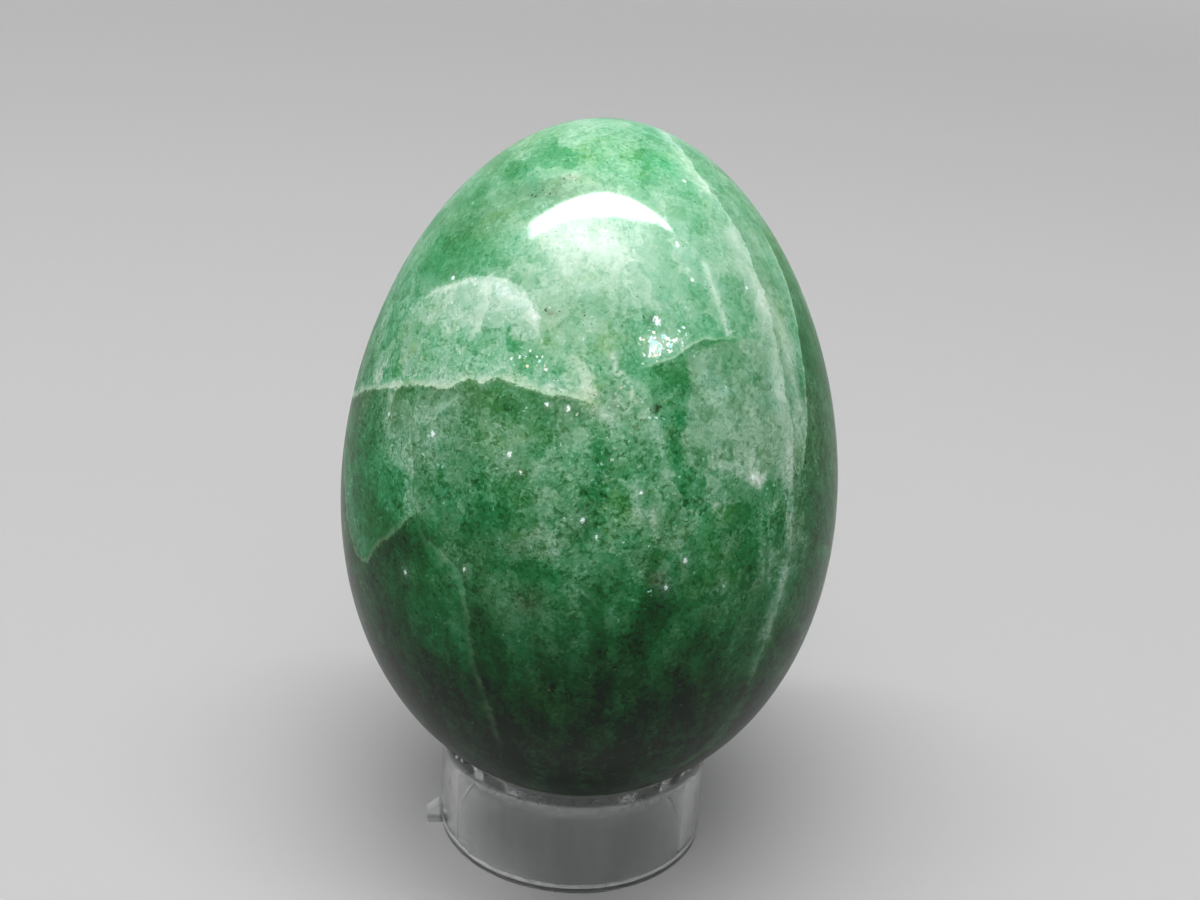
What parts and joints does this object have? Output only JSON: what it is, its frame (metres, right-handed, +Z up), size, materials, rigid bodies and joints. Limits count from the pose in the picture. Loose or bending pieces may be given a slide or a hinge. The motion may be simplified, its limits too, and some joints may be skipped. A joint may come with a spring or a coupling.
{
  "type": "stone egg on stand",
  "caption": "Polished green stone egg standing blunt end down, resting loose on the rim of a short clear plastic ring stand.",
  "frame": {"origin": "centre of the ring stand's foot, on the surface it stands on", "axes": "+Z up along the egg's long axis, towards its narrow end; -X towards the gate nub on the ring"},
  "size_m": [0.0448, 0.0448, 0.0691],
  "materials": {
    "clear_plastic": "clear, moulded, glossy",
    "green_stone": "polished, mottled green with pale veins"
  },
  "bodies": {
    "ring_stand": {"ring_stand": "clear_plastic"},
    "egg": {"stone_egg": "green_stone"}
  },
  "joints": [
    {"name": "egg_lift", "type": "slide", "parent": "ring_stand", "child": "egg", "axis": [0, 0, 1], "range_m": [0, 0.05]}
  ]
}
